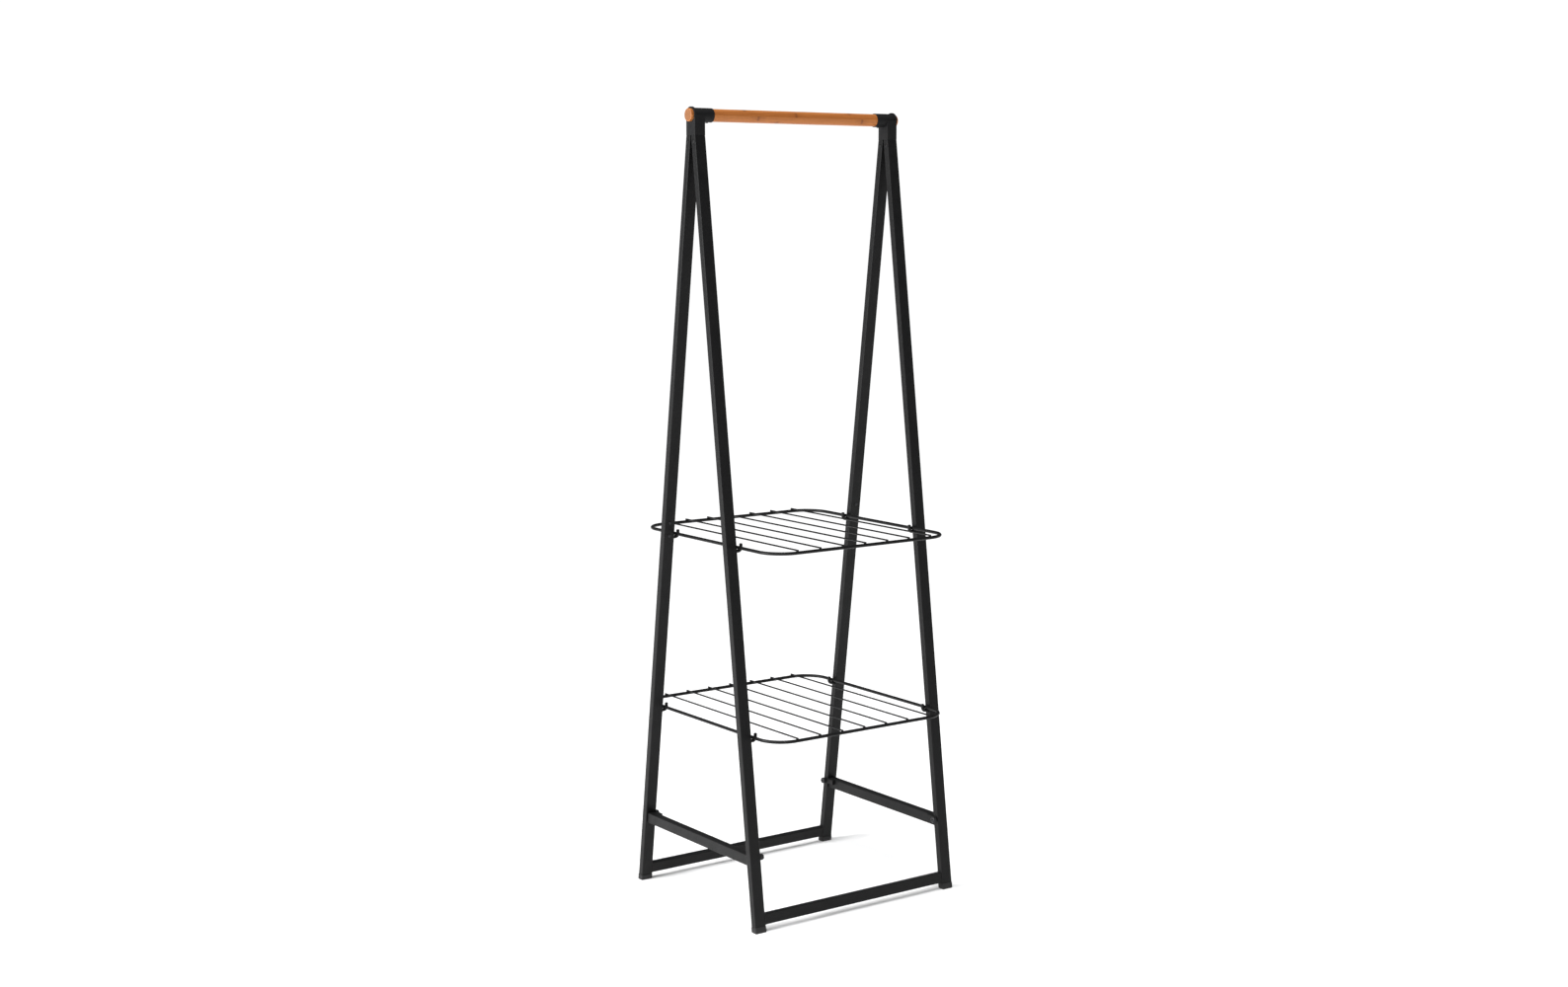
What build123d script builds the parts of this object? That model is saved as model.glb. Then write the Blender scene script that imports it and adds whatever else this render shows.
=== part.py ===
"""A-frame valet stand: two leg frames pinned to a pair of T-heads that carry a bamboo rail, two
stretchers that hold the frames apart, and two wire shelves that lift out of hooks on the legs.

Millimetres. +X runs along the rail, +Y to the rear and +Z up. The origin is on the floor, midway
between the four feet.
"""
from build123d import *
from math import atan2, cos, sin, tan
import os

os.makedirs("parts", exist_ok=True)

# ---------------------------------------------------------------- driving dimensions
# Overall
frame_width = 594.0          # across the outer faces of the legs
rail_height = 1885.0         # floor to the rail's axis
foot_offset = 249.5          # leg axis from the middle of the stand, at the floor

# Legs: rectangular steel tube in two lengths, joined end to end
leg_width = 29.0             # along the rail
leg_depth = 17.5             # front to rear
tube_wall = 1.0
tube_corner = 1.8            # outside corner radius
leg_top_gap = 2.1            # between the front and rear tubes, where the head begins
leg_joint_height = 905.0     # where a lower tube meets an upper one
spigot_length = 120.0        # joiner inside the two tubes
leg_screw_rise = 16.0        # leg screw above the joint

# Feet and floor bars
foot_cap_height = 13.0
foot_cap_proud = 1.0
foot_plug_depth = 22.0
bar_height = 26.0
bar_depth = 16.0
bar_rise = 16.0              # underside of a floor bar above the floor

# Stretchers
stretcher_width = 20.0
stretcher_height = 25.5
stretcher_middle_height = 166.0
tongue_thickness = 3.0
tongue_height = 12.0
tongue_overlap = 25.0        # length welded along the tube
stretcher_bolt_height = 172.0
bolt_shank_radius = 2.5
bolt_head_radius = 7.5
bolt_head_thickness = 9.0

# Heads and rail
head_drop = 47.0             # rail axis down to the head's underside
head_edge = 1.5              # corner radius of the block
sleeve_radius = 16.5
sleeve_length = 57.0
collar_radius = 19.2
collar_length = 5.0
head_tongue_length = 32.0
head_tongue_root = 1.5       # tongue run up into the block
pin_drop = 14.0              # hinge pin below the head's underside
pin_radius = 3.0
pin_head_radius = 5.0
pin_head_thickness = 1.6
rail_radius = 15.0
rail_projection = 7.0        # past the outer face of each head
rail_chamfer = 1.2
rail_screw_radius = 1.5
rail_screw_length = 13.0
rail_screw_head_radius = 3.2
rail_screw_head_thickness = 1.6
rail_screw_setback = 12.0    # from the sleeve's inner end

# Shelves and their hooks
upper_shelf_height = 890.5   # floor to the axis of the shelf's frame wire
lower_shelf_height = 450.5
shelf_width = 521.0          # between the axes of the side wires
shelf_corner = 62.0
shelf_side_run = 27.3        # straight side wire from a lower hook to the corner
frame_wire_radius = 4.0
cross_wire_radius = 2.0
cross_wire_count = 7
cross_wire_pitch = 65.3
cross_wire_overhang = 3.0
hook_radius = 4.0
hook_rest = 0.5              # straight rod past the axis of the side wire
hook_tip_rise = 9.0          # tip above the axis of the shelf's frame wire
hook_tip_gap = 0.7           # between the tip and the side wire
hook_collar_radius = 6.0
hook_collar_length = 2.0

# Fixings and clearances
insert_radius = 4.0
insert_length = 10.0
leg_screw_radius = 2.0
leg_screw_head_radius = 4.0
leg_screw_head_thickness = 2.2
leg_screw_length = 8.0
slip_fit = 0.3               # spigots, plugs and tongues inside a tube, each side
hole_clearance = 0.1         # round fixings in their holes, on the radius
rail_clearance = 0.05        # rail in its sleeves, on the radius
seat_gap = 0.3               # shelf wire above its hook
butt_gap = 0.5               # stretcher tube to the leg

# ---------------------------------------------------------------- derived places
head_base_height = rail_height - head_drop
leg_top_offset = (leg_depth + leg_top_gap) / 2   # leg axis from the middle of the stand
lean = atan2(foot_offset - leg_top_offset, head_base_height)
leg_x = frame_width / 2 - leg_width / 2
inner_face_x = frame_width / 2 - leg_width
tube_inner_width = leg_width - 2 * tube_wall
tube_inner_depth = leg_depth - 2 * tube_wall
half_depth_level = leg_depth / 2 / cos(lean)     # half of a leg's depth, cut level
pin_height = head_base_height - pin_drop
hook_drop = frame_wire_radius + hook_radius + seat_gap
rail_length = frame_width + 2 * rail_projection
ENDS = (("front", -1), ("rear", 1))
HANDS = (("left", -1), ("right", 1))
SHELVES = (("upper", upper_shelf_height), ("lower", lower_shelf_height))
CORNERS = [(side, hand) for _, side in ENDS for _, hand in HANDS]


def along(height):
    """Distance along a leg's axis from the floor up to a height."""
    return height / cos(lean)


def leg_y(side, height):
    """Y of a leg's axis at a height; side is -1 for the front frame and 1 for the rear."""
    return side * (foot_offset - height * tan(lean))


def leg_plane(side, hand, distance):
    """Plane square to a leg, at a distance along its axis from the floor."""
    origin = (hand * leg_x, side * (foot_offset - distance * sin(lean)), distance * cos(lean))
    return Plane(origin=origin, x_dir=(1, 0, 0), z_dir=(0, -side * sin(lean), cos(lean)))


def facing_plane(side, hand, distance):
    """Plane on the face of a leg that looks at the other frame, its normal out of the leg."""
    leg = leg_plane(side, hand, distance)
    middle = leg.from_local_coords((0, -side * leg_depth / 2, 0))
    return Plane(origin=middle, x_dir=(1, 0, 0), z_dir=leg.y_dir * -side)


def cross_plane(x, y, height, direction):
    """Plane square to X whose normal points along +X or -X."""
    return Plane(origin=(x, y, height), x_dir=(0, 1, 0), z_dir=(direction, 0, 0))


def save(piece, name):
    """Labels a finished piece and writes it as its own STEP file."""
    piece.label = name
    export_step(piece, f"parts/{name}.step")


# ---------------------------------------------------------------- shelf depth
# Both shelves are the same size, and the lower one, whose hooks stand furthest apart, sets it.
lower_hook_y = leg_y(1, lower_shelf_height - hook_drop)
shelf_depth = 2 * (lower_hook_y + shelf_side_run + shelf_corner)

# ---------------------------------------------------------------- lower legs
# Each is drilled on its inner face for three inserts: stretcher bolt, lower hook, upper hook.
insert_heights = [stretcher_bolt_height] + [height - hook_drop for _, height in SHELVES]
for end, side in ENDS:
    for hand_name, hand in HANDS:
        with BuildPart() as lower_leg:
            with BuildSketch(leg_plane(side, hand, foot_cap_height)):
                RectangleRounded(leg_width, leg_depth, tube_corner)
                Rectangle(tube_inner_width, tube_inner_depth, mode=Mode.SUBTRACT)
            extrude(amount=along(leg_joint_height) - foot_cap_height)
            for height in insert_heights:
                with BuildSketch(cross_plane(hand * inner_face_x, leg_y(side, height), height, hand)):
                    Circle(insert_radius + hole_clearance / 2)
                extrude(amount=2 * tube_wall, mode=Mode.SUBTRACT)
            with BuildSketch(facing_plane(side, hand, along(leg_joint_height - leg_screw_rise))):
                Circle(leg_screw_radius + hole_clearance)
            extrude(amount=-2 * tube_wall, mode=Mode.SUBTRACT)
        save(lower_leg.part, f"{end}_{hand_name}_lower_leg")

# ---------------------------------------------------------------- upper legs
# The top stops just under the head, and both side walls are drilled for the hinge pin.
leg_top_distance = along(head_base_height) - leg_depth / 2 * tan(lean) - butt_gap
for end, side in ENDS:
    for hand_name, hand in HANDS:
        with BuildPart() as upper_leg:
            with BuildSketch(leg_plane(side, hand, along(leg_joint_height))):
                RectangleRounded(leg_width, leg_depth, tube_corner)
                Rectangle(tube_inner_width, tube_inner_depth, mode=Mode.SUBTRACT)
            extrude(amount=leg_top_distance - along(leg_joint_height))
            with BuildSketch(cross_plane(hand * leg_x, leg_y(side, pin_height), pin_height, hand)):
                Circle(pin_radius + hole_clearance)
            extrude(amount=leg_width, both=True, mode=Mode.SUBTRACT)
            with BuildSketch(facing_plane(side, hand, along(leg_joint_height + leg_screw_rise))):
                Circle(leg_screw_radius + hole_clearance)
            extrude(amount=-2 * tube_wall, mode=Mode.SUBTRACT)
        save(upper_leg.part, f"{end}_{hand_name}_upper_leg")

# ---------------------------------------------------------------- spigots and leg screws
# A short tube joins the two halves of a leg from inside, with a screw above and below the joint.
for end, side in ENDS:
    for hand_name, hand in HANDS:
        with BuildPart() as spigot:
            with BuildSketch(leg_plane(side, hand, along(leg_joint_height) - spigot_length / 2)):
                spigot_width = tube_inner_width - 2 * slip_fit
                spigot_depth = tube_inner_depth - 2 * slip_fit
                Rectangle(spigot_width, spigot_depth)
                Rectangle(spigot_width - 2 * tube_wall, spigot_depth - 2 * tube_wall,
                          mode=Mode.SUBTRACT)
            extrude(amount=spigot_length)
            for rise in (-leg_screw_rise, leg_screw_rise):
                with BuildSketch(facing_plane(side, hand, along(leg_joint_height + rise))):
                    Circle(leg_screw_radius + hole_clearance)
                extrude(amount=-3 * tube_wall, mode=Mode.SUBTRACT)
            for height in insert_heights:
                with BuildSketch(cross_plane(hand * inner_face_x, leg_y(side, height), height, hand)):
                    Circle(insert_radius + slip_fit)
                extrude(amount=3 * tube_wall, mode=Mode.SUBTRACT)
        save(spigot.part, f"{end}_{hand_name}_spigot")

with BuildPart() as leg_screws:
    for side, hand in CORNERS:
        for rise in (-leg_screw_rise, leg_screw_rise):
            face = facing_plane(side, hand, along(leg_joint_height + rise))
            with BuildSketch(face):
                Circle(leg_screw_head_radius)
            extrude(amount=leg_screw_head_thickness)
            with BuildSketch(face):
                Circle(leg_screw_radius)
            extrude(amount=-leg_screw_length)
save(leg_screws.part, "leg_screws")

# ---------------------------------------------------------------- floor bars
# A flat-lying tube is butt-welded between the two legs of each frame, square to them.
for end, side in ENDS:
    with BuildPart() as floor_bar:
        middle = leg_plane(side, 0, along(bar_rise) + bar_height / 2)
        with BuildSketch(Plane(origin=(-inner_face_x, middle.origin.Y, middle.origin.Z),
                               x_dir=middle.y_dir, z_dir=(1, 0, 0))):
            RectangleRounded(bar_depth, bar_height, tube_corner)
            Rectangle(bar_depth - 2 * tube_wall, bar_height - 2 * tube_wall, mode=Mode.SUBTRACT)
        extrude(amount=2 * inner_face_x)
    save(floor_bar.part, f"{end}_floor_bar")

# ---------------------------------------------------------------- feet
# A moulded cap plugs each leg and is cut level where it meets the floor.
for end, side in ENDS:
    for hand_name, hand in HANDS:
        with BuildPart() as foot:
            with BuildSketch(leg_plane(side, hand, -foot_cap_height)):
                RectangleRounded(leg_width + 2 * foot_cap_proud, leg_depth + 2 * foot_cap_proud,
                                 tube_corner + foot_cap_proud)
            extrude(amount=2 * foot_cap_height)
            split(bisect_by=Plane.XY, keep=Keep.TOP)
            chamfer(faces().sort_by(Axis.Z)[0].edges(), foot_cap_proud)
            with BuildSketch(leg_plane(side, hand, foot_cap_height)):
                Rectangle(tube_inner_width - 2 * slip_fit, tube_inner_depth - 2 * slip_fit)
            extrude(amount=foot_plug_depth)
        save(foot.part, f"{end}_{hand_name}_foot")

# ---------------------------------------------------------------- stretchers
# The tube runs between the front and rear legs in their own plane. At each end a tongue, welded
# to the tube's inboard wall, laps the leg's inner face and is held there by a bolt.
tongue_end = leg_y(1, stretcher_bolt_height)
tube_end = leg_y(1, stretcher_bolt_height) - half_depth_level
for hand_name, hand in HANDS:
    with BuildPart() as stretcher:
        with BuildSketch(Plane(origin=(hand * leg_x, 0, stretcher_middle_height),
                               x_dir=(1, 0, 0), z_dir=(0, 1, 0))):
            RectangleRounded(stretcher_width, stretcher_height, tube_corner)
            Rectangle(stretcher_width - 2 * tube_wall, stretcher_height - 2 * tube_wall,
                      mode=Mode.SUBTRACT)
        extrude(amount=foot_offset, both=True)
        for side in (-1, 1):
            end_cut = facing_plane(side, hand, along(stretcher_middle_height))
            split(bisect_by=end_cut.offset(butt_gap), keep=Keep.TOP)
        tube_wall_x = leg_x - stretcher_width / 2
        for side in (-1, 1):
            tongue_middle = side * (tongue_end + tube_end - tongue_overlap) / 2
            tongue_length = tongue_end - tube_end + tongue_overlap
            with BuildSketch(cross_plane(hand * (inner_face_x - tongue_thickness), tongue_middle,
                                         stretcher_bolt_height, hand)):
                Rectangle(tongue_length, tongue_height)
                with Locations((side * tongue_length / 2, 0)):
                    Circle(tongue_height / 2)
                    Circle(bolt_shank_radius + hole_clearance, mode=Mode.SUBTRACT)
            extrude(amount=tongue_thickness)
            pad_length = tongue_overlap - 2 * butt_gap
            pad_middle = side * (tube_end - 3 * butt_gap - pad_length / 2)
            with BuildSketch(cross_plane(hand * inner_face_x, pad_middle,
                                         stretcher_bolt_height, hand)):
                Rectangle(pad_length, tongue_height)
            extrude(amount=tube_wall_x - inner_face_x)
    save(stretcher.part, f"{hand_name}_stretcher")

with BuildPart() as stretcher_bolts:
    for side, hand in CORNERS:
        seat_x = hand * (inner_face_x - tongue_thickness)
        bolt_y = leg_y(side, stretcher_bolt_height)
        with BuildSketch(cross_plane(seat_x, bolt_y, stretcher_bolt_height, -hand)):
            Circle(bolt_head_radius)
        extrude(amount=bolt_head_thickness)
        with BuildSketch(cross_plane(seat_x, bolt_y, stretcher_bolt_height, hand)):
            Circle(bolt_shank_radius)
        extrude(amount=tongue_thickness + insert_length)
    head_middle_x = inner_face_x - tongue_thickness - bolt_head_thickness / 2
    head_rims = edges().filter_by(GeomType.CIRCLE).group_by(SortBy.RADIUS)[-1]
    inner_rims = head_rims.filter_by(lambda edge: abs(edge.center().X) < head_middle_x)
    fillet(inner_rims, bolt_head_thickness / 4)
save(stretcher_bolts.part, "stretcher_bolts")

# ---------------------------------------------------------------- threaded inserts
# Pressed into the inner wall of the legs, flush with the face.
with BuildPart() as threaded_inserts:
    for side, hand in CORNERS:
        for height in insert_heights:
            with BuildSketch(cross_plane(hand * inner_face_x, leg_y(side, height), height, hand)):
                Circle(insert_radius)
                Circle(bolt_shank_radius + hole_clearance, mode=Mode.SUBTRACT)
            extrude(amount=insert_length)
save(threaded_inserts.part, "threaded_inserts")

# ---------------------------------------------------------------- shelf hooks
# Each is a rod bent up at its end and screwed into an insert; the shelf's side wire lies in it.
hook_tip_x = shelf_width / 2 - frame_wire_radius - hook_tip_gap - hook_radius
hook_bend = shelf_width / 2 - hook_tip_x - hook_rest
for shelf_name, height in SHELVES:
    with BuildPart() as hooks:
        for side, hand in CORNERS:
            rod_height = height - hook_drop
            y = leg_y(side, rod_height)
            with BuildLine(Plane(origin=(0, y, 0), x_dir=(1, 0, 0), z_dir=(0, -1, 0))) as rod:
                FilletPolyline((hand * inner_face_x, rod_height), (hand * hook_tip_x, rod_height),
                               (hand * hook_tip_x, height + hook_tip_rise), radius=hook_bend)
            with BuildSketch(cross_plane(hand * inner_face_x, y, rod_height, -hand)):
                Circle(hook_radius)
            sweep(path=rod.line)
            with BuildSketch(cross_plane(hand * inner_face_x, y, rod_height, -hand)):
                Circle(hook_collar_radius)
            extrude(amount=hook_collar_length)
            with BuildSketch(cross_plane(hand * inner_face_x, y, rod_height, hand)):
                Circle(bolt_shank_radius)
            extrude(amount=insert_length)
        tips = faces().filter_by(Axis.Z).group_by(Axis.Z)[-1].edges()
        fillet(tips, hook_radius / 2)
    save(hooks.part, f"{shelf_name}_shelf_hooks")

# ---------------------------------------------------------------- shelves
# A thick wire bent to a rounded rectangle, with thinner wires laid across it and welded on top.
for shelf_name, height in SHELVES:
    half_width = shelf_width / 2
    half_depth = shelf_depth / 2
    with BuildPart() as shelf_frame:
        with BuildLine(Plane.XY.offset(height)) as outline:
            FilletPolyline((-half_width, -half_depth), (half_width, -half_depth),
                           (half_width, half_depth), (-half_width, half_depth),
                           radius=shelf_corner, close=True)
        with BuildSketch(Plane(origin=outline.line @ 0, z_dir=outline.line % 0)):
            Circle(frame_wire_radius)
        sweep(path=outline.line)
    save(shelf_frame.part, f"{shelf_name}_shelf_frame")

    with BuildPart() as cross_wires:
        wire_length = shelf_depth + 2 * cross_wire_overhang
        wire_height = height + frame_wire_radius + cross_wire_radius
        with BuildSketch(Plane(origin=(0, 0, wire_height), x_dir=(1, 0, 0), z_dir=(0, 1, 0))):
            with GridLocations(cross_wire_pitch, 1, cross_wire_count, 1):
                Circle(cross_wire_radius)
        extrude(amount=wire_length / 2, both=True)
    save(cross_wires.part, f"{shelf_name}_shelf_wires")

# ---------------------------------------------------------------- heads
# A block caps the tops of a front and a rear leg, with a tongue down inside each, and carries the
# sleeve that the rail passes through.
for hand_name, hand in HANDS:
    with BuildPart() as head:
        with BuildSketch(Plane.XY.offset(head_base_height)):
            with Locations((hand * leg_x, 0)):
                RectangleRounded(leg_width, 2 * (leg_top_offset + half_depth_level), head_edge)
        extrude(amount=head_drop)
        with BuildSketch(cross_plane(hand * frame_width / 2, 0, rail_height, -hand)):
            Circle(sleeve_radius)
        extrude(amount=sleeve_length)
        with BuildSketch(cross_plane(hand * frame_width / 2, 0, rail_height, -hand)):
            Circle(collar_radius)
        extrude(amount=collar_length)
        for side in (-1, 1):
            with BuildSketch(leg_plane(side, hand, along(head_base_height) - head_tongue_length)):
                Rectangle(tube_inner_width - 2 * slip_fit, tube_inner_depth - 2 * slip_fit)
            extrude(amount=head_tongue_length + head_tongue_root)
            with BuildSketch(cross_plane(hand * leg_x, leg_y(side, pin_height), pin_height, hand)):
                Circle(pin_radius + hole_clearance)
            extrude(amount=leg_width, both=True, mode=Mode.SUBTRACT)
        with BuildSketch(cross_plane(hand * frame_width / 2, 0, rail_height, -hand)):
            Circle(rail_radius + rail_clearance)
        extrude(amount=sleeve_length, mode=Mode.SUBTRACT)
        rail_screw_x = hand * (frame_width / 2 - sleeve_length + rail_screw_setback)
        with BuildSketch(Plane.XY.offset(rail_height - sleeve_radius - rail_screw_head_thickness)):
            with Locations((rail_screw_x, 0)):
                Circle(rail_screw_radius + hole_clearance)
        extrude(amount=sleeve_radius, mode=Mode.SUBTRACT)
    save(head.part, f"{hand_name}_head")

# ---------------------------------------------------------------- hinge pins
# A domed rivet pins each leg to the tongue inside it.
with BuildPart() as hinge_pins:
    for side, hand in CORNERS:
        y = leg_y(side, pin_height)
        with BuildSketch(cross_plane(hand * inner_face_x, y, pin_height, hand)):
            Circle(pin_radius)
        extrude(amount=leg_width)
        for face_x, direction in ((inner_face_x, -hand), (inner_face_x + leg_width, hand)):
            with BuildSketch(cross_plane(hand * face_x, y, pin_height, direction)):
                Circle(pin_head_radius)
            extrude(amount=pin_head_thickness)
save(hinge_pins.part, "hinge_pins")

# ---------------------------------------------------------------- rail
# A round bamboo rod, chamfered at its ends and screwed from below through each sleeve.
with BuildPart() as rail:
    with BuildSketch(cross_plane(-rail_length / 2, 0, rail_height, 1)):
        Circle(rail_radius)
    extrude(amount=rail_length)
    chamfer(edges().filter_by(GeomType.CIRCLE), rail_chamfer)
    for hand in (-1, 1):
        rail_screw_x = hand * (frame_width / 2 - sleeve_length + rail_screw_setback)
        with BuildSketch(Plane.XY.offset(rail_height - sleeve_radius)):
            with Locations((rail_screw_x, 0)):
                Circle(rail_screw_radius + hole_clearance)
        extrude(amount=rail_screw_length, mode=Mode.SUBTRACT)
save(rail.part, "rail")

with BuildPart() as rail_screws:
    for hand in (-1, 1):
        rail_screw_x = hand * (frame_width / 2 - sleeve_length + rail_screw_setback)
        with BuildSketch(Plane.XY.offset(rail_height - sleeve_radius)):
            with Locations((rail_screw_x, 0)):
                Circle(rail_screw_radius)
        extrude(amount=rail_screw_length - hole_clearance)
        with BuildSketch(Plane.XY.offset(rail_height - sleeve_radius)):
            with Locations((rail_screw_x, 0)):
                Circle(rail_screw_head_radius)
        extrude(amount=-rail_screw_head_thickness)
save(rail_screws.part, "rail_screws")
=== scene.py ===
import math

import bpy
import numpy as np
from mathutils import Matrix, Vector


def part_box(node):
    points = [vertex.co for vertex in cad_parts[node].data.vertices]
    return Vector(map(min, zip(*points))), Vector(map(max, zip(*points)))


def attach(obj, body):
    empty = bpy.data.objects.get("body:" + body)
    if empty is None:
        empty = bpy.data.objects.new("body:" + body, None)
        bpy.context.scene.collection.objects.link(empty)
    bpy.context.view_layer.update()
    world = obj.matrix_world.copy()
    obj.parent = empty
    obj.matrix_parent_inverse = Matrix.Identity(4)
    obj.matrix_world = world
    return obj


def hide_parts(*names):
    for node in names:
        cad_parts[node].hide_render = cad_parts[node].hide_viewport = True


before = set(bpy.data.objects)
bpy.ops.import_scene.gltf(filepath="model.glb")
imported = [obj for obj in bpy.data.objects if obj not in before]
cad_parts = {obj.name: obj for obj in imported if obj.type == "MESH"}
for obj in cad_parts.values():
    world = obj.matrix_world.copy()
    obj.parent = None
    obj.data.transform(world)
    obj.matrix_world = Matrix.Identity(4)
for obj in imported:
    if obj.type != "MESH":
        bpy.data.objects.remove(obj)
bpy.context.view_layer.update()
scene = bpy.context.scene


# ------------------------------------------------------------------ studio
# White paper that runs to the horizon, with a broad soft light from above, a large one from the left
# and a faint one from the front. The camera stands at the front left, at eye height.

def look_along(way):
    """The turn that makes a lamp or a camera look along the given direction."""
    return Vector(way).to_track_quat("-Z", "Y").to_euler()


def soft_light(name, place, aim, width, height, watts):
    """A rectangular lamp of the given size, set at place and turned to face aim."""
    lamp = bpy.data.lights.new(name, "AREA")
    lamp.shape = "RECTANGLE"
    lamp.size = width
    lamp.size_y = height
    lamp.energy = watts
    holder = bpy.data.objects.new(name, lamp)
    holder.location = place
    holder.rotation_euler = look_along(Vector(aim) - Vector(place))
    scene.collection.objects.link(holder)


camera_azimuth = math.radians(-35.76)
camera_elevation = math.radians(7.59)
camera_distance = 5.184
camera_aim = Vector((-0.0314, 0.0, 0.9846))
camera_way = Vector((math.sin(camera_azimuth) * math.cos(camera_elevation),
                     -math.cos(camera_azimuth) * math.cos(camera_elevation),
                     math.sin(camera_elevation)))
camera = bpy.data.objects.new("camera", bpy.data.cameras.new("camera"))
camera.data.sensor_width = 36.0
camera.data.lens = 48.99
camera.data.clip_end = 400.0
camera.location = camera_aim + camera_way * camera_distance
camera.rotation_euler = look_along(-camera_way)
scene.collection.objects.link(camera)
scene.camera = camera
scene.view_settings.view_transform = "Standard"

floor_reach = 90.0
floor_corners = [(-floor_reach, -floor_reach, 0), (floor_reach, -floor_reach, 0),
                 (floor_reach, floor_reach, 0), (-floor_reach, floor_reach, 0)]
floor_mesh = bpy.data.meshes.new("floor")
floor_mesh.from_pydata(floor_corners, [], [(0, 1, 2, 3)])
floor = bpy.data.objects.new("floor", floor_mesh)
scene.collection.objects.link(floor)
paper = bpy.data.materials.new("white_paper")
paper.use_nodes = True
paper_shader = paper.node_tree.nodes["Principled BSDF"]
paper_shader.inputs["Base Color"].default_value = (0.93, 0.93, 0.93, 1)
paper_shader.inputs["Roughness"].default_value = 0.9
paper_shader.inputs["Specular IOR Level"].default_value = 0.1
floor_mesh.materials.append(paper)

sky = bpy.data.worlds.new("studio_air")
sky.use_nodes = True
scene.world = sky
air = sky.node_tree.nodes
air["Background"].inputs["Color"].default_value = (0.12, 0.122, 0.126, 1)
backdrop = air.new("ShaderNodeBackground")
backdrop.inputs["Color"].default_value = (1, 1, 1, 1)
backdrop.inputs["Strength"].default_value = 1.05
ray = air.new("ShaderNodeLightPath")
pick = air.new("ShaderNodeMixShader")
sky.node_tree.links.new(ray.outputs["Is Camera Ray"], pick.inputs[0])
sky.node_tree.links.new(air["Background"].outputs[0], pick.inputs[1])
sky.node_tree.links.new(backdrop.outputs[0], pick.inputs[2])
sky.node_tree.links.new(pick.outputs[0], air["World Output"].inputs["Surface"])

top_light = bpy.data.objects.new("top_light", bpy.data.lights.new("top_light", "SUN"))
top_light.data.energy = 3.45
top_light.data.angle = math.radians(50)
top_light.rotation_euler = look_along((0.25, 0.2, -1.0))
scene.collection.objects.link(top_light)
soft_light("left_light", (-4.6, 0.9, 2.0), (0, 0, 1.0), width=1.8, height=3.2, watts=330)
soft_light("front_light", (-0.4, -4.8, 3.4), (0, 0, 1.2), width=1.2, height=1.2, watts=9)


# ------------------------------------------------------------------ legs and floor bars
# Rectangular steel tube, 29 by 17.5 mm in the legs and 16 by 26 mm in the bars, saw-cut, welded,
# sprayed with a satin black powder and baked. Each leg is two tubes, joined by a spigot inside.

def start_finish(name, shader_values):
    """A new node material with the given constant values on its shader, and its node tree."""
    material = bpy.data.materials.new(name)
    material.use_nodes = True
    tree = material.node_tree
    for socket, value in shader_values.items():
        tree.nodes["Principled BSDF"].inputs[socket].default_value = value
    return material, tree


def add_node(tree, kind, inputs, **settings):
    """Adds a node with the given settings. Each of its inputs takes a link where it is given another
    node's output, and else a value of its own, where a colour's three parts get an alpha of 1."""
    node = tree.nodes.new(kind)
    for setting, value in settings.items():
        setattr(node, setting, value)
    for socket, value in inputs.items():
        if isinstance(value, bpy.types.NodeSocket):
            tree.links.new(value, node.inputs[socket])
        elif isinstance(value, tuple):
            node.inputs[socket].default_value = (*value, 1)
        else:
            node.inputs[socket].default_value = value
    return node


def object_place(tree):
    """Where a point is in the object, in metres."""
    return add_node(tree, "ShaderNodeTexCoord", {}).outputs["Object"]


def clouds(tree, place, scale, detail, roughness=0.5):
    """Soft lumps of noise, scale of them to a unit of place."""
    inputs = {"Vector": place, "Scale": scale, "Detail": detail, "Roughness": roughness}
    return add_node(tree, "ShaderNodeTexNoise", inputs).outputs["Fac"]


def cells(tree, place, scale):
    """How far a point is from the middle of its cell, with scale cells to a metre."""
    return add_node(tree, "ShaderNodeTexVoronoi", {"Vector": place, "Scale": scale}).outputs["Distance"]


def tones(tree, amount, *stops):
    """The colour that goes with an amount, given as (amount, colour) stops in rising order."""
    node = add_node(tree, "ShaderNodeValToRGB", {"Fac": amount})
    elements = node.color_ramp.elements
    for element, (position, colour) in ((elements[0], stops[0]), (elements[1], stops[-1])):
        element.position = position
        element.color = (*colour, 1)
    for position, colour in stops[1:-1]:
        elements.new(position).color = (*colour, 1)
    return node.outputs["Color"]


def ranged(tree, amount, low, high, start=0.0, end=1.0):
    """Low where the amount is at start or under, high where it is at end or over, straight between."""
    inputs = {"Value": amount, "From Min": start, "From Max": end, "To Min": low, "To Max": high}
    return add_node(tree, "ShaderNodeMapRange", inputs).outputs["Result"]


def laid_over(tree, share, below, above, way="MIX"):
    """One colour over another, by the share that is given."""
    inputs = {"Factor": share, "A": below, "B": above}
    return add_node(tree, "ShaderNodeMix", inputs, data_type="RGBA", blend_type=way).outputs["Result"]


def relief(tree, height, strength, depth):
    """Bump from a height pattern, with its depth in metres."""
    inputs = {"Height": height, "Strength": strength, "Distance": depth}
    return add_node(tree, "ShaderNodeBump", inputs).outputs["Normal"]


def drive_shader(tree, patterns):
    """Links each named socket of the shader to the pattern that drives it."""
    for socket, pattern in patterns.items():
        tree.links.new(pattern, tree.nodes["Principled BSDF"].inputs[socket])


def shaded(colour, share):
    """The colour with each of its parts multiplied by share."""
    return tuple(part * share for part in colour)


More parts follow.
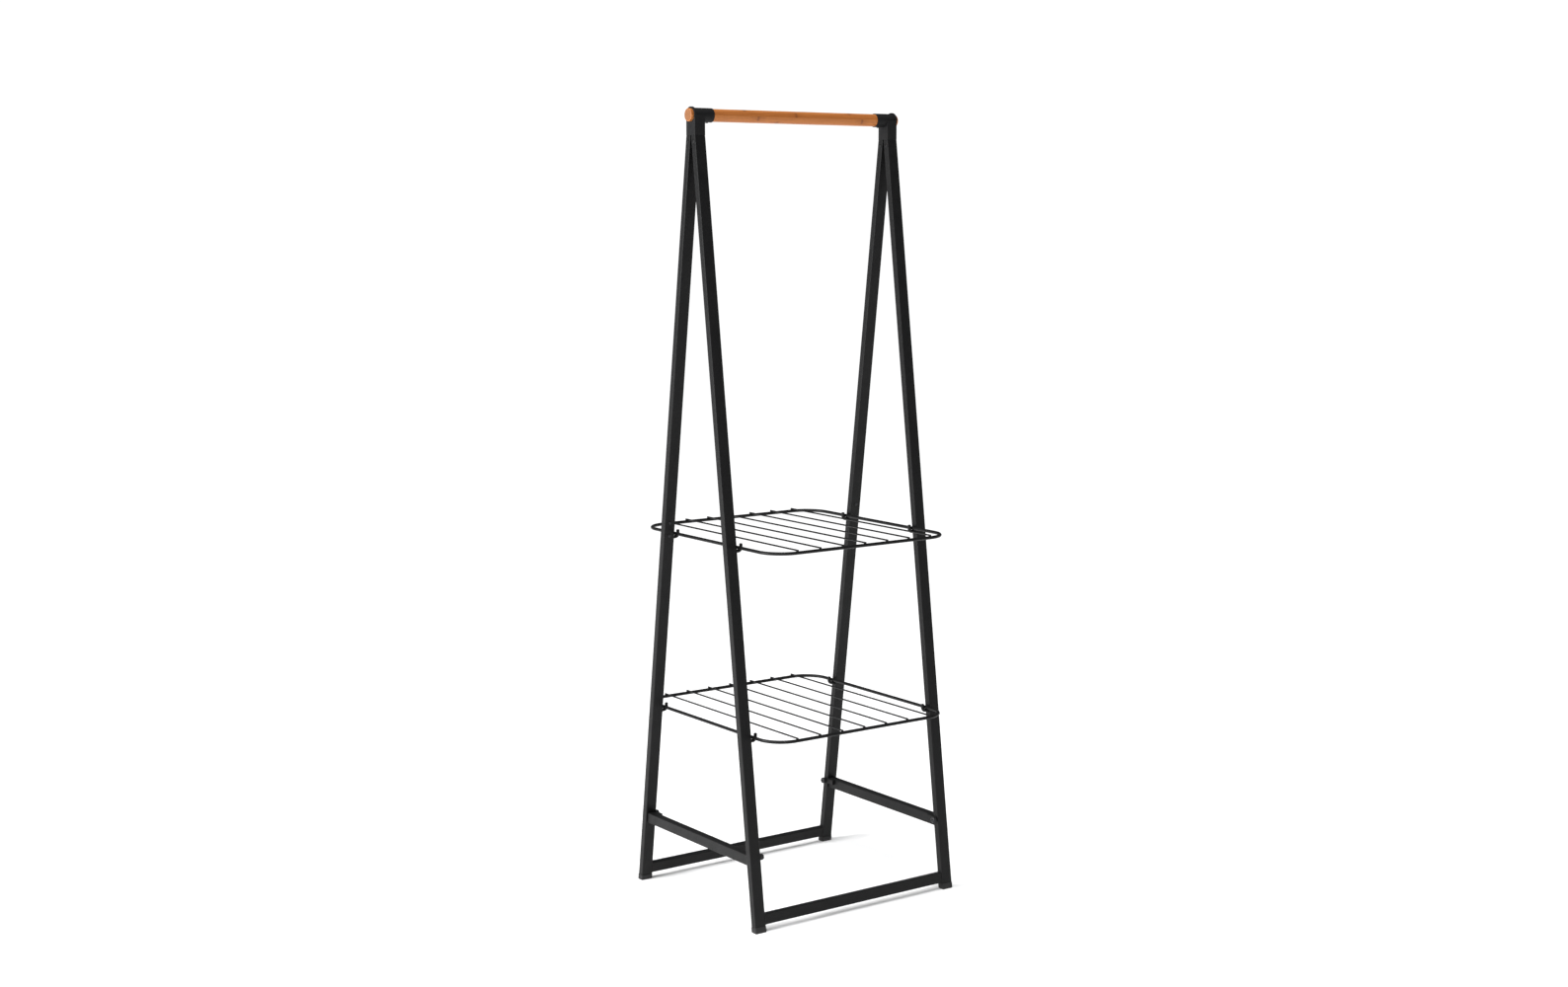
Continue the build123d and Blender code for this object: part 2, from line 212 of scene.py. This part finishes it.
def powder_coat(name, colour, roughness, grain=750.0, dimple=0.00035):
    """Baked powder: fine orange-peel dimples, a slow drift of tone, paler specks painted into the colour
    as glints, and patches rubbed a little glossier. Grain is the dimples to a metre, dimple their depth."""
    material, tree = start_finish(name, {"Specular IOR Level": 0.17})
    place = object_place(tree)
    drift = clouds(tree, place, scale=9.0, detail=6.0, roughness=0.65)
    tone = tones(tree, drift, (0.32, shaded(colour, 0.80)), (0.70, shaded(colour, 1.18)))
    # Painted glints: small paler specks added to the colour stand in for highlights off the grain.
    painted_glint_share = tones(tree, cells(tree, place, grain * 0.45), (0.02, (1, 1, 1)), (0.16, (0, 0, 0)))
    rub = clouds(tree, place, scale=34.0, detail=8.0)
    peel = clouds(tree, place, scale=grain, detail=2.0)
    drive_shader(tree, {
        "Base Color": laid_over(tree, painted_glint_share, tone, shaded(colour, 0.9), "ADD"),
        "Roughness": ranged(tree, rub, roughness + 0.05, roughness - 0.07, start=0.35, end=0.70),
        "Normal": relief(tree, peel, strength=0.75, depth=dimple)})
    return material


def finish_with(material, *names):
    """Gives the named CAD nodes one material in place of their own."""
    for name in names:
        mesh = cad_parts[name].data
        mesh.materials.clear()
        mesh.materials.append(material)


ends = ("front", "rear")
hands = ("left", "right")
corners = [f"{end}_{hand}" for end in ends for hand in hands]
tube_coat = powder_coat("tube_powder_coat", (0.0062, 0.0062, 0.0064), 0.44)
for end in ends:
    finish_with(tube_coat, f"{end}_floor_bar")
for corner in corners:
    finish_with(tube_coat, f"{corner}_lower_leg", f"{corner}_upper_leg")


# ------------------------------------------------------------------ welds of the floor bars
# The ends of each bar are butt-welded to the inner faces of the legs. A fine rippled fillet of weld
# runs all round each end, under the coat.

def solid_boxes(node, levels=1):
    """Each leg's solids of a node as (side, hand, lowest corner, highest corner), where side is -1 at
    the front and hand is -1 at the left. With more levels, the widest gaps in height divide them."""
    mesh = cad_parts[node].data
    points = np.empty(len(mesh.vertices) * 3)
    mesh.vertices.foreach_get("co", points)
    points = points.reshape(-1, 3)
    boxes = []
    for side in (-1, 1):
        for hand in (-1, 1):
            own = points[(points[:, 0] * hand > 0) & (points[:, 1] * side > 0)]
            order = own[np.argsort(own[:, 2])]
            steps = np.argsort(np.diff(order[:, 2]))[len(order) - levels:]
            for group in np.split(order, np.sort(steps) + 1):
                boxes.append((side, hand, group.min(axis=0), group.max(axis=0)))
    return boxes


def ring_bead(path, outward, along, radius, around=8):
    """A closed bead: round a ring of path points, each point carries a circle that is spanned by its
    outward and along directions, and radius may differ from point to point."""
    angle = np.linspace(0, 2 * np.pi, around, endpoint=False)
    circle = (np.cos(angle)[None, :, None] * outward[:, None, :]
              + np.sin(angle)[None, :, None] * along[:, None, :])
    points = (path[:, None, :] + radius[:, None, None] * circle).reshape(-1, 3)
    count = len(path)
    step = np.arange(count)[:, None] * around
    ahead = (np.arange(count)[:, None] + 1) % count * around
    turn = np.arange(around)[None, :]
    onward = (turn + 1) % around
    quads = np.stack([step + turn, ahead + turn, ahead + onward, step + onward], axis=-1)
    return points, quads.reshape(-1, 4)


def closed_piece(name, parts, material, body="frame", sharp_above=35.0):
    """One piece made of closed parts, each its points and one or more arrays of faces. Six times a
    part's volume is the sum of a . (b x c) over its triangles, and its faces are turned over where
    that is negative. It is smooth except at edges sharper than sharp_above degrees."""
    points = []
    faces = []
    count = 0
    for own_points, *groups in parts:
        own = own_points - own_points.mean(axis=0)
        volume = 0.0
        for group in groups:
            for second in range(1, group.shape[1] - 1):
                across = np.cross(own[group[:, second]], own[group[:, second + 1]])
                volume += np.einsum("ij,ij->", own[group[:, 0]], across)
        for group in groups:
            outward_group = group if volume > 0 else group[:, ::-1]
            faces += (outward_group + count).tolist()
        points.append(own_points)
        count += len(own_points)
    mesh = bpy.data.meshes.new(name)
    mesh.from_pydata(np.concatenate(points).tolist(), [], faces)
    mesh.polygons.foreach_set("use_smooth", np.ones(len(faces), dtype=bool))
    mesh.set_sharp_from_angle(angle=math.radians(sharp_above))
    mesh.materials.append(material)
    piece = bpy.data.objects.new(name, mesh)
    scene.collection.objects.link(piece)
    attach(piece, body)
    return piece


upper_hooks = solid_boxes("upper_shelf_hooks")
lower_hooks = solid_boxes("lower_shelf_hooks")
hook_run = abs(lower_hooks[0][2][1]) - abs(upper_hooks[0][2][1])
hook_climb = upper_hooks[0][2][2] - lower_hooks[0][2][2]
lean = math.atan2(hook_run, hook_climb)

bar_depth = 0.016
bar_height = 0.026
corner_power = 0.22
weld_steps = 220
weld_radius = 0.0016
ripple_depth = 0.15
ripple_length = 0.0022
turn = np.linspace(0, 2 * np.pi, weld_steps, endpoint=False)
across = np.sign(np.cos(turn)) * np.abs(np.cos(turn)) ** corner_power * bar_depth / 2
upward = np.sign(np.sin(turn)) * np.abs(np.sin(turn)) ** corner_power * bar_height / 2
for end, side in zip(ends, (-1, 1)):
    low, high = (np.array(corner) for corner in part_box(f"{end}_floor_bar"))
    up_leg = np.array([0, -side * math.sin(lean), math.cos(lean)])
    out_of_leg = np.array([0, math.cos(lean), side * math.sin(lean)])
    outline = across[:, None] * out_of_leg + upward[:, None] * up_leg
    gap = np.linalg.norm(np.roll(outline, -1, axis=0) - outline, axis=1)
    travelled = np.concatenate([[0], np.cumsum(gap)[:-1]])
    ripple = np.abs(np.cos(np.pi * travelled / ripple_length))
    size = weld_radius * (1 - ripple_depth + ripple_depth * ripple)
    outward = outline / np.linalg.norm(outline, axis=1)[:, None]
    along = np.tile(np.array([1.0, 0, 0]), (weld_steps, 1))
    middle = (low + high) / 2
    beads = [ring_bead(outline + np.array([x, middle[1], middle[2]]), outward, along, size)
             for x in (low[0], high[0])]
    closed_piece(f"{end}_floor_bar_welds", beads, tube_coat)


# ------------------------------------------------------------------ stretchers
# A 20 by 25.5 mm tube between a front and a rear leg, in line with them, with a flat tongue welded
# at each end that laps the inner face of the leg. The same coat as the legs.

stretcher_coat = powder_coat("stretcher_powder_coat", (0.0068, 0.0068, 0.0070), 0.45)
finish_with(stretcher_coat, "left_stretcher", "right_stretcher")


# ------------------------------------------------------------------ stretcher bolts
# Turned steel bolts with a thick disc head, its rim knurled so that it can be done up by hand, in a
# black oxide finish. The shank goes through the tongue into the insert in the leg.

def lathe(profile, centre, axis, around=48, lobes=0):
    """A turned shape. Every profile row becomes a ring: (distance along the axis, radius), then a 1
    where the ring is flattened to a hexagon, then the height of its lobes as a share of the radius.
    The first and last rows have no radius and close the shape as poles."""
    profile = np.array([(*row, 0, 0)[:4] for row in profile], dtype=float)
    axis = np.array(axis, dtype=float) / np.linalg.norm(axis)
    upright = abs(axis[2]) > 0.9
    helper = np.array([1.0, 0, 0]) if upright else np.array([0, 0, 1.0])
    first = np.cross(helper, axis)
    first /= np.linalg.norm(first)
    second = np.cross(axis, first)
    angle = np.linspace(0, 2 * np.pi, around, endpoint=False)
    sixth = np.mod(angle, np.pi / 3) - np.pi / 6
    hexagon = math.cos(math.pi / 6) / np.cos(sixth)
    rings = profile[1:-1]
    radius = rings[:, 1:2] * (1 + rings[:, 2:3] * (hexagon[None, :] - 1)
                              + rings[:, 3:4] * np.cos(lobes * angle)[None, :])
    spokes = np.cos(angle)[:, None] * first + np.sin(angle)[:, None] * second
    points = (np.array(centre) + rings[:, None, 0:1] * axis
              + radius[:, :, None] * spokes[None, :, :]).reshape(-1, 3)
    poles = np.array(centre) + profile[[0, -1], 0:1] * axis
    ring = np.arange(len(rings) - 1)[:, None] * around
    turn = np.arange(around)
    onward = (turn + 1) % around
    quads = np.stack([ring + turn, ring + onward, ring + around + onward, ring + around + turn],
                     axis=-1).reshape(-1, 4)
    last_ring = (len(rings) - 1) * around
    start_fan = np.stack([np.full(around, len(points)), onward, turn], axis=-1)
    end_fan = np.stack([np.full(around, len(points) + 1), last_ring + turn, last_ring + onward], axis=-1)
    return np.concatenate([points, poles]), quads, np.concatenate([start_fan, end_fan])


def black_oxide(name, colour, roughness):
    """Oiled black oxide over turned steel: a dark, finely mottled skin."""
    material, tree = start_finish(name, {"Metallic": 0.55})
    mottle = clouds(tree, object_place(tree), scale=420.0, detail=5.0)
    drive_shader(tree, {
        "Base Color": tones(tree, mottle, (0.3, shaded(colour, 0.7)), (0.75, shaded(colour, 1.5))),
        "Roughness": ranged(tree, mottle, roughness - 0.06, roughness + 0.10),
        "Normal": relief(tree, mottle, strength=0.3, depth=0.00005)})
    return material


bolt_black = black_oxide("bolt_black_oxide", (0.02, 0.02, 0.022), 0.38)
knob_length = 0.009
knob_radius = 0.0073
knurl = 0.025
knurl_end = 0.008
knurl_count = 30
socket_depth = 0.0026
socket_radius = 0.0024
shank_radius = 0.0025
shank_bevel = 0.0005
socket_rows = [(socket_depth, 0), (socket_depth, 0.0017, 1), (socket_depth, socket_radius, 1),
               (0.0003, 0.0026, 1), (0, 0.0030)]
face_rows = [(0.0001, 0.0052), (0.0007, 0.0065), (0.0016, 0.0071, 0, knurl_end)]
rim_rows = [(x, knob_radius, 0, knurl) for x in (0.0022, 0.0048, 0.0070)]
back_rows = [(0.0076, 0.0071, 0, knurl_end), (0.0082, 0.0064), (knob_length, 0.0060)]
knobs = []
for side, hand, low, high in solid_boxes("stretcher_bolts"):
    centre = (low + high) / 2
    head_x = low[0] if hand > 0 else high[0]
    tip = high[0] - low[0]
    shank_rows = [(knob_length, shank_radius), (tip - shank_bevel, shank_radius),
                  (tip, shank_radius - shank_bevel), (tip, 0)]
    knobs.append(lathe(socket_rows + face_rows + rim_rows + back_rows + shank_rows,
                       (head_x, centre[1], centre[2]), (hand, 0, 0), around=120, lobes=knurl_count))
knob_piece = closed_piece("stretcher_knob_bolts", knobs, bolt_black, sharp_above=28.0)
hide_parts("stretcher_bolts")


# ------------------------------------------------------------------ feet
# Moulded nylon caps, pushed up into the ends of the legs, with a spark-eroded matt texture and a
# little dust picked up where they stand.

def worked_out(tree, operation, *operands):
    """One step of arithmetic, on numbers and patterns."""
    return add_node(tree, "ShaderNodeMath", dict(enumerate(operands)), operation=operation).outputs[0]


dust_height = 0.006
dust_share = 0.55
nylon, nylon_tree = start_finish("foot_nylon", {"Specular IOR Level": 0.35})
nylon_place = object_place(nylon_tree)
spark = clouds(nylon_tree, nylon_place, scale=1500.0, detail=3.0)
nylon_height = add_node(nylon_tree, "ShaderNodeSeparateXYZ", {"Vector": nylon_place}).outputs["Z"]
settled = ranged(nylon_tree, nylon_height, dust_share, 0.0, start=0.0, end=dust_height)
dust = worked_out(nylon_tree, "MULTIPLY", settled, spark)
drive_shader(nylon_tree, {
    "Base Color": laid_over(nylon_tree, dust, (0.012, 0.012, 0.0125), (0.06, 0.058, 0.054)),
    "Roughness": ranged(nylon_tree, spark, 0.52, 0.70),
    "Normal": relief(nylon_tree, spark, strength=0.5, depth=0.00010)})
for corner in corners:
    finish_with(nylon, f"{corner}_foot")


# ------------------------------------------------------------------ leg screws
# Button-head socket screws on the faces of the legs that look at each other, one above and one
# below each joint. They hold the two tubes to the spigot.

screw_black = black_oxide("screw_black_oxide", (0.022, 0.022, 0.024), 0.34)
screw_head_radius = 0.004
screw_head_height = 0.0022
screw_edge = 0.0002
screw_shank_radius = 0.002
screw_length = 0.008
screw_socket_floor = 0.0009
button_rim = screw_head_height * 0.35
button_flat = 0.0018
quarter = np.linspace(0, np.pi / 2, 7)
button_rows = [(button_rim + (screw_head_height - button_rim) * math.sin(a),
                button_flat + (screw_head_radius - button_flat) * math.cos(a)) for a in quarter[::-1]]
screw_rows = [(screw_socket_floor, 0), (screw_socket_floor, 0.00125, 1),
              (screw_head_height - 0.0001, 0.00135, 1), *button_rows,
              (screw_edge, screw_head_radius), (0, screw_head_radius - screw_edge),
              (0, screw_shank_radius), (-screw_length, screw_shank_radius), (-screw_length, 0)]
screws = []
for side, hand, low, high in solid_boxes("leg_screws", levels=2):
    out_way = np.array([0, -side * math.cos(lean), -math.sin(lean)])
    seat = (low + high) / 2 - out_way * (screw_head_height - screw_length) / 2
    screws.append(lathe(screw_rows, seat, out_way, around=36))
screw_piece = closed_piece("leg_socket_screws", screws, screw_black)
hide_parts("leg_screws")


# ------------------------------------------------------------------ hinge pins
# A steel pin through the head's tongue and both walls of the leg, its ends peened to low domes over
# a small flat shoulder, and coated with the frame.

pin_radius = 0.003
pin_head_radius = 0.005
pin_head_height = 0.0016
peen_radius = pin_head_radius * 0.9
peen_height = pin_head_height * 0.75
peen_shoulder = pin_head_height * 0.78
pins = []
for side, hand, low, high in solid_boxes("hinge_pins"):
    half = (high[0] - low[0]) / 2
    peened = [(-half + peen_height * (1 - math.sin(a)), peen_radius * math.cos(a))
              for a in quarter[::-1]]
    head_rows = [(-half, 0), *peened[1:], (-half + peen_shoulder, pin_head_radius),
                 (-half + pin_head_height, pin_head_radius), (-half + pin_head_height, pin_radius)]
    pin_rows = head_rows + [(-x, radius) for x, radius in head_rows[::-1]]
    pins.append(lathe(pin_rows, (low + high) / 2, (1, 0, 0), around=36))
pin_piece = closed_piece("peened_hinge_pins", pins, tube_coat)
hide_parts("hinge_pins")


# ------------------------------------------------------------------ heads
# Die-cast T-heads: a block over the tops of two legs and a sleeve for the rail, shot-blasted and
# coated a shade flatter than the tubes.

head_coat = powder_coat("head_coat", (0.0072, 0.0072, 0.0076), 0.56, grain=1000.0, dimple=0.00040)
finish_with(head_coat, "left_head", "right_head")


# ------------------------------------------------------------------ hooks
# Bent rod, screwed into inserts in the legs' inner walls, with a small collar against the wall, and
# coated a little glossier than the legs.

hook_coat = powder_coat("hook_powder_coat", (0.0062, 0.0062, 0.0065), 0.40)
finish_with(hook_coat, "upper_shelf_hooks", "lower_shelf_hooks")


# ------------------------------------------------------------------ shelves
# An 8 mm steel wire bent into a rounded rectangle, seven 4 mm wires resistance-welded across it, and
# a satin black coat over all. Each weld leaves a low nugget between the two wires.

wire_coat = powder_coat("wire_powder_coat", (0.0058, 0.0058, 0.006), 0.40, grain=1100.0, dimple=0.00022)
cross_wire_count = 7
nugget_radius = 0.0033
nugget_half_height = 0.0015
nugget_sink = 0.0001
nugget_rows = [(-nugget_half_height * math.cos(a), nugget_radius * math.sin(a))
               for a in np.linspace(0, np.pi, 9)]
for shelf in ("upper", "lower"):
    finish_with(wire_coat, f"{shelf}_shelf_frame", f"{shelf}_shelf_wires")
    wires_low, wires_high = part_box(f"{shelf}_shelf_wires")
    ring_low, ring_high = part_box(f"{shelf}_shelf_frame")
    cross_wire_radius = (wires_high[2] - wires_low[2]) / 2
    frame_wire_radius = (ring_high[2] - ring_low[2]) / 2
    wires_x = np.linspace(wires_low[0] + cross_wire_radius, wires_high[0] - cross_wire_radius,
                          cross_wire_count)
    nugget_z = wires_low[2] - nugget_sink
    nuggets = [lathe(nugget_rows, (x, y, nugget_z), (0, 0, 1), around=14) for x in wires_x
               for y in (ring_low[1] + frame_wire_radius, ring_high[1] - frame_wire_radius)]
    closed_piece(f"{shelf}_shelf_weld_nuggets", nuggets, wire_coat,
                 body=f"{shelf}_shelf", sharp_above=60.0)


# ------------------------------------------------------------------ rail
# A 30 mm rod turned from laminated bamboo: eight strips round its girth, each with its own run of
# fibres and its own nodes, sanded, chamfered at the ends and sealed with a satin lacquer.

strip_count = 8
nodes_to_a_metre = 3.25


def bamboo_side():
    """Long fibres on the rod's own map, strip by strip: a tone for each strip, streaks stretched along
    the length, thin dark vessels, a dark ring in a paler stain at each strip's nodes, and glue lines."""
    material, tree = start_finish("bamboo_side", {"Coat Weight": 0.08, "Coat Roughness": 0.28,
                                                  "Specular IOR Level": 0.28})
    own_map = add_node(tree, "ShaderNodeUVMap", {}, uv_map="girth").outputs["UV"]
    split = add_node(tree, "ShaderNodeSeparateXYZ", {"Vector": own_map})
    length = split.outputs["X"]
    girth = split.outputs["Y"]

    def calc(operation, *operands):
        """One step of arithmetic in this material."""
        return worked_out(tree, operation, *operands)

    def close_to(distance, reach):
        """1 at no distance, falling straight to 0 at the reach and staying there."""
        return calc("SUBTRACT", 1.0, calc("MINIMUM", calc("DIVIDE", distance, reach), 1.0))

    def fibres(along, around, shuffle, detail, roughness=0.5):
        """Noise drawn out along the rod: along lumps to a metre, around to the girth, and each strip
        moved to another part of it."""
        place = {"X": calc("MULTIPLY", length, along), "Y": calc("MULTIPLY", girth, around),
                 "Z": calc("MULTIPLY", strip_chance, shuffle)}
        vector = add_node(tree, "ShaderNodeCombineXYZ", place).outputs["Vector"]
        return clouds(tree, vector, 1.0, detail, roughness)

    strips = calc("MULTIPLY", girth, float(strip_count))
    strip = calc("FLOOR", strips)
    within = calc("SUBTRACT", strips, strip)
    chance = add_node(tree, "ShaderNodeTexWhiteNoise", {"W": calc("ADD", strip, 0.37)},
                      noise_dimensions="1D")
    strip_chance = chance.outputs["Value"]
    streak = fibres(along=7.0, around=150.0, shuffle=40.0, detail=5.0, roughness=0.6)
    vessel = fibres(along=26.0, around=420.0, shuffle=90.0, detail=2.0)

    node_phase = calc("ADD", calc("MULTIPLY", length, nodes_to_a_metre),
                      calc("MULTIPLY", strip_chance, 0.55))
    node_saw = calc("SUBTRACT", node_phase, calc("ROUND", node_phase))
    wobble = calc("MULTIPLY", calc("SUBTRACT", streak, 0.5), 0.008)
    node_gap = calc("ABSOLUTE", calc("ADD", node_saw, wobble))
    ring = close_to(node_gap, 0.016)
    stain = close_to(node_gap, 0.085)
    glue = close_to(calc("MINIMUM", within, calc("SUBTRACT", 1.0, within)), 0.022)
    vessel_share = calc("MULTIPLY", calc("MAXIMUM", calc("SUBTRACT", vessel, 0.58), 0.0), 3.6)

    strip_tone = calc("MULTIPLY", calc("SUBTRACT", strip_chance, 0.5), 0.22)
    colour = tones(tree, calc("ADD", streak, strip_tone), (0.30, (0.315, 0.095, 0.018)),
                   (0.50, (0.45, 0.150, 0.032)), (0.72, (0.56, 0.205, 0.050)))
    for share, dark in ((calc("MINIMUM", vessel_share, 0.7), (0.18, 0.056, 0.014)),
                        (calc("MULTIPLY", stain, 0.42), (0.27, 0.078, 0.014)),
                        (calc("MULTIPLY", ring, 0.62), (0.13, 0.040, 0.011)),
                        (calc("MULTIPLY", glue, 0.35), (0.16, 0.056, 0.018))):
        colour = laid_over(tree, share, colour, dark)
    grooves = calc("ADD", calc("MULTIPLY", ring, 0.35), calc("MULTIPLY", glue, 0.25))
    height = calc("SUBTRACT", calc("MULTIPLY", streak, 0.5), grooves)
    drive_shader(tree, {"Base Color": colour, "Roughness": ranged(tree, streak, 0.36, 0.50),
                        "Normal": relief(tree, height, strength=0.5, depth=0.00018)})
    return material


def bamboo_end():
    """End grain: a clouded ground with small dark vascular dots."""
    material, tree = start_finish("bamboo_end", {"Roughness": 0.55})
    place = object_place(tree)
    dots = cells(tree, place, scale=1250.0)
    dot_tone = tones(tree, dots, (0.16, (0.135, 0.045, 0.011)), (0.42, (0.25, 0.096, 0.024)))
    cloud = clouds(tree, place, scale=260.0, detail=4.0)
    cloud_tone = tones(tree, cloud, (0.0, (0.70, 0.62, 0.52)), (1.0, (1.0, 1.0, 1.0)))
    drive_shader(tree, {"Base Color": laid_over(tree, 1.0, dot_tone, cloud_tone, "MULTIPLY"),
                        "Normal": relief(tree, dots, strength=0.4, depth=0.00012)})
    return material


rail_low, rail_high = (np.array(corner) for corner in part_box("rail"))
rail_centre = (rail_low + rail_high) / 2
rail_radius = (rail_high[2] - rail_low[2]) / 2
rail_half = (rail_high[0] - rail_low[0]) / 2
chamfer = 0.0012
girth_steps = 96
long_steps = 240
sanded_off = 0.0001
slow_wave = 0.00006
slow_wave_rate = 41.0
quick_wave = 0.00004
quick_wave_rate = 97.0
hair = 1e-6

disc_rows = [(-rail_half, radius) for radius in np.linspace(0, rail_radius - chamfer, 6)[:-1]]
shoulder_rows = [(-rail_half + chamfer * (1 - math.sin(a)), rail_radius - chamfer * (1 - math.cos(a)))
                 for a in np.linspace(0, np.pi / 2, 5)[::-1]]
side_rows = [(x, rail_radius)
             for x in np.linspace(-rail_half + chamfer, rail_half - chamfer, long_steps)[1:-1]]
left_rows = disc_rows + shoulder_rows
right_rows = [(-x, radius) for x, radius in left_rows[::-1]]
rail_rows = left_rows + side_rows + right_rows
rail_points, rail_quads, rail_fans = lathe(rail_rows, rail_centre, (1, 0, 0), around=girth_steps)

# The sanding takes off a hair's breadth and two faint waves, one slow with two crests to the girth
# and one quicker with three, only where the rod has its full radius.
ring_x, ring_radius = np.array(rail_rows)[1:-1].T
ring_count = len(ring_x)
angle = np.linspace(0, 2 * np.pi, girth_steps, endpoint=False)
hand_sanded = (slow_wave * np.sin(ring_x[:, None] * slow_wave_rate + 2 * angle[None, :])
               + quick_wave * np.sin(ring_x[:, None] * quick_wave_rate - 3 * angle[None, :]))
on_side = (ring_radius > rail_radius - hair)[:, None]
shape = rail_points[:-2].reshape(ring_count, girth_steps, 3)
from_axis = shape - rail_centre
from_axis[:, :, 0] = 0
shape -= np.where(on_side, sanded_off + hand_sanded, 0)[:, :, None] * from_axis / rail_radius
rail_points = np.concatenate([shape.reshape(-1, 3), rail_points[-2:]])
rail = closed_piece("bamboo_rail", [(rail_points, rail_quads, rail_fans)], bamboo_side(),
                    sharp_above=40.0)
rail.data.materials.append(bamboo_end())

# The end finish goes on the discs, and the map runs in metres along the rod and once round its girth.
quad_ring = np.repeat(np.arange(ring_count - 1), girth_steps)
end_rings = len(disc_rows) - 1
is_end = (quad_ring < end_rings) | (quad_ring >= ring_count - 1 - end_rings)
face_material = np.concatenate([is_end, np.ones(len(rail_fans), dtype=bool)]).astype(np.int32)
rail.data.polygons.foreach_set("material_index", face_material)
girth_map = rail.data.uv_layers.new(name="girth")
run = ring_x + rail_half
here = run[quad_ring]
there = run[quad_ring + 1]
this_turn = np.tile(np.arange(girth_steps), ring_count - 1) / girth_steps
next_turn = this_turn + 1 / girth_steps
quad_map = np.stack([here, this_turn, here, next_turn, there, next_turn, there, this_turn], axis=-1)
fan_map = np.zeros((len(rail_fans), 6))
girth_map.data.foreach_set("uv", np.concatenate([quad_map.ravel(), fan_map.ravel()]))
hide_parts("rail")


# ------------------------------------------------------------------ rail screws
# A small pan-head screw with a hexagon socket goes up through the underside of each sleeve into the
# bamboo, and keeps the rail from turning and sliding.

rail_screw_low, rail_screw_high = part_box("rail_screws")
pan_radius = 0.0032
pan_height = 0.0016
pan_socket_depth = 0.0006
thread_radius = 0.0015
thread_length = (rail_screw_high[2] - rail_screw_low[2]) - pan_height
seat_height = rail_screw_low[2] + pan_height
pan_rows = [(-pan_height + pan_socket_depth, 0), (-pan_height + pan_socket_depth, 0.0009, 1),
            (-pan_height, 0.0010, 1), (-pan_height, 0.0018), (-pan_height + 0.0002, 0.0026),
            (-pan_height + 0.0006, 0.0031), (-0.0004, pan_radius), (0, pan_radius),
            (0, thread_radius), (thread_length, thread_radius), (thread_length, 0)]
rail_screws = [lathe(pan_rows, (x, 0, seat_height), (0, 0, 1), around=30)
               for x in (rail_screw_low[0] + pan_radius, rail_screw_high[0] - pan_radius)]
rail_screw_piece = closed_piece("rail_pan_screws", rail_screws, screw_black)
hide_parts("rail_screws")


# ------------------------------------------------------------------ hidden steel
# Spigots that join the two tubes of each leg from inside, and threaded inserts pressed into the
# legs' walls for the hooks and the bolts. Both are zinc plated and passivated.

zinc, zinc_tree = start_finish("zinc_plate", {"Metallic": 1.0})
spangle = cells(zinc_tree, object_place(zinc_tree), scale=240.0)
drive_shader(zinc_tree, {
    "Base Color": tones(zinc_tree, spangle, (0.0, (0.46, 0.47, 0.48)), (1.0, (0.66, 0.66, 0.63))),
    "Roughness": ranged(zinc_tree, spangle, 0.28, 0.42)})
finish_with(zinc, "threaded_inserts")
for corner in corners:
    finish_with(zinc, f"{corner}_spigot")


# ------------------------------------------------------------------ sizes
# The scene is brought up to date at the end; the finish must not change the size of the stand.

bpy.context.view_layer.update()
